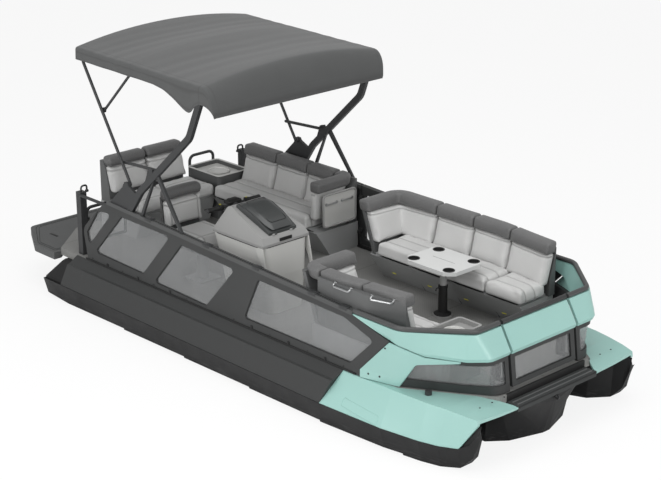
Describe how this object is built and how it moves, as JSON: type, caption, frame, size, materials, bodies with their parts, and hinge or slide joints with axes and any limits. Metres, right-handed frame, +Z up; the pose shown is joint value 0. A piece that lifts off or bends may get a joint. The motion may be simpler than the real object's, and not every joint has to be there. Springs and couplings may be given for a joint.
{
  "type": "pontoon boat",
  "caption": "Leisure pontoon boat with faired hulls, windowed side walls, lounge seating, helm console with handlebar steering, and a folding fabric sun top on an arch frame.",
  "frame": {"origin": "bottom centre of the bounding box, on the floor plane under the keels, midway between bow and swim platform ends", "axes": "+X towards the bow, +Y to port, +Z up"},
  "size_m": [6, 2.44, 2.5383],
  "materials": {
    "hull_black": "satin moulded",
    "teal_gloss": "gloss",
    "deck_grey": "textured",
    "step_dark": "ribbed",
    "wall_grey": "satin",
    "frame_black": "satin",
    "post_grey": "satin",
    "pane_smoke": "smoked",
    "canopy_fabric": "woven",
    "vinyl_light": "satin",
    "vinyl_dark": "textured",
    "moulding_grey": "satin",
    "moulding_light": "gloss",
    "base_dark": "satin",
    "lid_dark": "satin",
    "steel_plain": "brushed",
    "engine_metal": "painted"
  },
  "bodies": {
    "boat": {"hull_sponsons": "hull_black", "hull_middle": "hull_black", "side_panels": "wall_grey", "bow_covers": "teal_gloss", "deck": "deck_grey", "bow_step": "step_dark", "swim_platform": "step_dark", "wall_port": "wall_grey", "wall_starboard": "wall_grey", "window_panes": "pane_smoke", "side_rails": "frame_black", "bow_rails": "wall_grey", "bow_fairings": "wall_grey", "bow_panes": "pane_smoke", "quarter_panels": "teal_gloss", "bow_bands": "teal_gloss", "stern_frame": "wall_grey", "bimini_arch": "frame_black", "bimini_gussets": "frame_black", "bimini_struts": "frame_black", "canopy": "canopy_fabric", "sofa_aft_base": "base_dark", "sofa_aft_seat": "vinyl_light", "sofa_aft_back": "vinyl_light", "sofa_bow_base": "base_dark", "sofa_bow_seat": "vinyl_light", "sofa_bow_back": "vinyl_light", "bench_base": "base_dark", "bench_seat": "vinyl_light", "bench_back": "vinyl_light", "corner_unit": "moulding_grey", "lounge_base": "base_dark", "lounge_seat": "vinyl_light", "lounge_back": "vinyl_light", "lounge_pod": "moulding_grey", "helm_pedestal": "steel_plain", "console_body": "moulding_light", "console_hood": "moulding_light", "table_top": "moulding_grey", "table_post": "post_grey", "jet_pump": "frame_black", "engine_block": "engine_metal", "fittings": "steel_plain"},
    "bow_gate": {"bow_gate_frame": "wall_grey", "bow_gate_band": "teal_gloss", "bow_gate_pane": "pane_smoke"},
    "side_gate": {"side_gate_frame": "wall_grey", "side_gate_pane": "pane_smoke"},
    "stern_gate": {"stern_gate": "frame_black"},
    "helm_chair": {"helm_seat": "vinyl_light", "helm_back": "vinyl_light"},
    "steering": {"handlebar": "frame_black"},
    "bin_lid": {"console_lid": "lid_dark"},
    "top_leg": {"bimini_leg": "frame_black"},
    "top_mid_bow": {"bimini_mid_bow": "frame_black"},
    "top_links": {"bimini_links": "frame_black"},
    "impeller": {"impeller": "steel_plain"},
    "nozzle": {"jet_nozzle": "frame_black"},
    "bucket": {"reverse_bucket": "frame_black"}
  },
  "joints": [
    {"name": "bow_gate_hinge", "type": "hinge", "parent": "boat", "child": "bow_gate", "pos_m": [2.654, -0.398, 0.6], "axis": [0, 0, 1], "range_deg": [0, 55]},
    {"name": "side_gate_hinge", "type": "hinge", "parent": "boat", "child": "side_gate", "pos_m": [-0.27, 1.013, 0.7], "axis": [0, 0, 1], "range_deg": [-90, 0]},
    {"name": "stern_gate_hinge", "type": "hinge", "parent": "boat", "child": "stern_gate", "pos_m": [-1.96, -0.925, 0.7], "axis": [0, 0, 1], "range_deg": [0, 90]},
    {"name": "helm_chair_swivel", "type": "hinge", "parent": "boat", "child": "helm_chair", "pos_m": [-0.68, -0.575, 0.79], "axis": [0, 0, 1], "range_deg": [-80, 80]},
    {"name": "steering_turn", "type": "hinge", "parent": "boat", "child": "steering", "pos_m": [-0.194, -0.53, 1.2115], "axis": [-0.8697, 0, 0.4935], "range_deg": [-25, 25]},
    {"name": "bin_lid_hinge", "type": "hinge", "parent": "boat", "child": "bin_lid", "pos_m": [0.3676, -0.53, 1.16979], "axis": [0, 1, 0], "range_deg": [0, 75]},
    {"name": "top_fold", "type": "hinge", "parent": "boat", "child": "top_leg", "pos_m": [-1.15, 0, 1.345], "axis": [0, 1, 0], "range_deg": [0, 58], "deforming": ["canopy"]},
    {"name": "top_mid_pivot", "type": "hinge", "parent": "top_leg", "child": "top_mid_bow", "pos_m": [-1.53018, 0, 1.94718], "axis": [0, 1, 0], "range_deg": [-58, 0]},
    {"name": "top_link_pivot", "type": "hinge", "parent": "top_leg", "child": "top_links", "pos_m": [-1.2596, 0, 1.5186], "axis": [0, 1, 0], "range_deg": [-102, 0]},
    {"name": "impeller_spin", "type": "hinge", "parent": "boat", "child": "impeller", "pos_m": [-2.25, 0, 0.15], "axis": [1, 0, 0], "continuous": true},
    {"name": "nozzle_steer", "type": "hinge", "parent": "boat", "child": "nozzle", "pos_m": [-2.446, 0, 0.15], "axis": [0, 0, 1], "range_deg": [-25, 25]},
    {"name": "bucket_pivot", "type": "hinge", "parent": "nozzle", "child": "bucket", "pos_m": [-2.492, 0, 0.15], "axis": [0, 1, 0], "range_deg": [-50, 0]}
  ],
  "couplings": [
    {"joint": "top_mid_pivot", "follows": "top_fold", "ratio": -0.95},
    {"joint": "top_link_pivot", "follows": "top_fold", "ratio": -1.73},
    {"joint": "nozzle_steer", "follows": "steering_turn", "ratio": 1}
  ]
}
